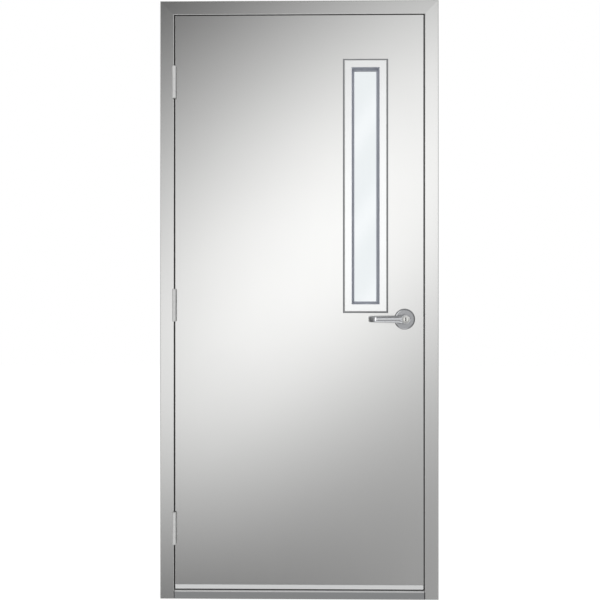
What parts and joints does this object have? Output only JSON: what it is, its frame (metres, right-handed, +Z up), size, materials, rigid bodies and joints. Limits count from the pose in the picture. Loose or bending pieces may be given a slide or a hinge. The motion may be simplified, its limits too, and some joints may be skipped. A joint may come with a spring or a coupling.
{
  "type": "door with frame",
  "caption": "Brushed stainless hollow-metal door hung in a folded steel frame, with a narrow vision lite, key-in-lever lock, butt hinges, aluminium sill and door shoe.",
  "frame": {"origin": "floor level, midway between the jambs and in the middle of the frame's depth, at the centre of the two floor bolts", "axes": "+Z up, -Y towards the pull side with the key, +X from the hinge jamb to the strike jamb"},
  "size_m": [1.016, 0.2064, 2.1844],
  "materials": {
    "brushed_stainless": "satin",
    "galvanised_steel": "satin",
    "satin_stainless": "satin",
    "screw_steel": "satin",
    "satin_chrome": "satin",
    "plug_brass": "satin",
    "coated_trim": "satin",
    "clear_glass": "gloss",
    "glazing_tape": "matte",
    "black_vinyl": "matte",
    "grey_rubber": "matte",
    "bright_aluminium": "satin",
    "dust_plastic": "matte",
    "honeycomb": "matte"
  },
  "bodies": {
    "frame": {"hinge_jamb": "brushed_stainless", "strike_jamb": "brushed_stainless", "head": "brushed_stainless", "frame_hinge_plates": "galvanised_steel", "strike_backing": "galvanised_steel", "strike_plate": "satin_stainless", "strike_screws": "screw_steel", "dust_box": "dust_plastic", "hinge_side_anchors": "galvanised_steel", "strike_side_anchors": "galvanised_steel", "floor_anchors": "galvanised_steel", "silencers": "grey_rubber", "sill": "bright_aluminium", "sill_screws": "screw_steel", "hinge_frame_leaves": "satin_stainless", "hinge_pins": "satin_stainless", "frame_hinge_screws": "screw_steel"},
    "door": {"front_skin": "brushed_stainless", "back_skin": "brushed_stainless", "door_core": "honeycomb", "top_channel": "galvanised_steel", "bottom_channel": "galvanised_steel", "door_hinge_plates": "galvanised_steel", "lock_reinforcement": "galvanised_steel", "hinge_door_leaves": "satin_stainless", "door_hinge_screws": "screw_steel", "lite_frame_front": "coated_trim", "lite_frame_back": "coated_trim", "lite_glass": "clear_glass", "lite_tape_front": "glazing_tape", "lite_tape_back": "glazing_tape", "lite_screws": "screw_steel", "door_shoe": "bright_aluminium", "shoe_seal": "black_vinyl", "shoe_screws": "screw_steel", "lock_chassis": "galvanised_steel", "latch_tube": "galvanised_steel", "latch_faceplate": "satin_stainless", "latch_screws": "screw_steel", "outside_rose": "satin_chrome", "inside_rose": "satin_chrome"},
    "outside_lever": {"outside_lever": "satin_chrome", "key_cylinder": "satin_chrome"},
    "key_plug": {"key_plug": "plug_brass"},
    "inside_lever": {"inside_lever": "satin_chrome"},
    "latch": {"latch_bolt": "satin_stainless"}
  },
  "joints": [
    {"name": "door_swing", "type": "hinge", "parent": "frame", "child": "door", "pos_m": [-0.45561, -0.08303, 1.0748], "axis": [0, 0, -1], "range_deg": [0, 175]},
    {"name": "outside_lever_turn", "type": "hinge", "parent": "door", "child": "outside_lever", "pos_m": [0.38417, -0.07143, 1.022], "axis": [0, -1, 0], "range_deg": [0, 50], "stiffness_Nm_per_rad": 1.2, "springref_deg": -40.11},
    {"name": "inside_lever_turn", "type": "hinge", "parent": "door", "child": "inside_lever", "pos_m": [0.38417, -0.02697, 1.022], "axis": [0, -1, 0], "range_deg": [0, 50], "stiffness_Nm_per_rad": 1.2, "springref_deg": -40.11},
    {"name": "latch_slide", "type": "slide", "parent": "door", "child": "latch", "axis": [-1, 0, 0], "range_m": [0, 0.0127]},
    {"name": "key_plug_turn", "type": "hinge", "parent": "outside_lever", "child": "key_plug", "pos_m": [0.38417, -0.13142, 1.022], "axis": [0, -1, 0], "range_deg": [0, 90]}
  ],
  "couplings": [
    {"joint": "latch_slide", "follows": "outside_lever_turn", "m_per_rad": 0.0145}
  ]
}
